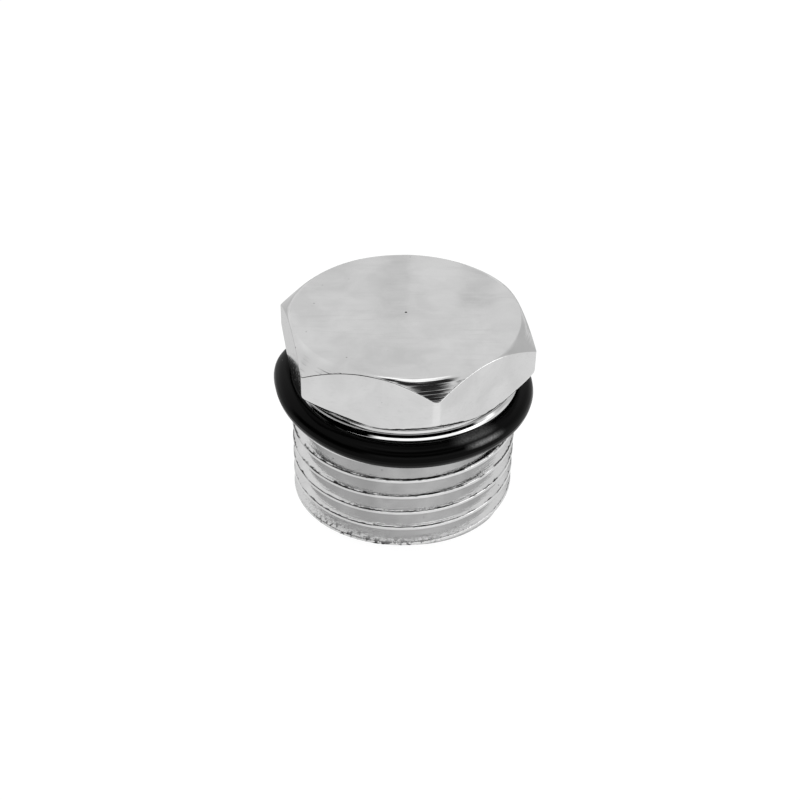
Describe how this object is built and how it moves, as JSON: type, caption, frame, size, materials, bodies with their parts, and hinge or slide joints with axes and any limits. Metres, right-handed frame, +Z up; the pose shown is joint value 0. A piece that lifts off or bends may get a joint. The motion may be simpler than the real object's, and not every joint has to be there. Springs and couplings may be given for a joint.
{
  "type": "blanking plug",
  "caption": "Chrome-plated hexagon-head blanking plug with a G 1/2 pipe thread and a rubber O-ring under the head, to close an unused port of a fitting or radiator.",
  "frame": {"origin": "centre of the thread's end face, on which the plug stands", "axes": "+Z up along the plug's axis, from the thread to the head; two corners of the hexagon point along +Y and -Y"},
  "size_m": [0.0239, 0.0242, 0.0194],
  "materials": {
    "chrome_plated_brass": "bright chrome plating over turned brass, with faint turning marks",
    "nitrile_rubber": "moulded black rubber, semi-gloss"
  },
  "bodies": {
    "root": {"plug_body": "chrome_plated_brass", "o_ring": "nitrile_rubber"}
  },
  "joints": []
}
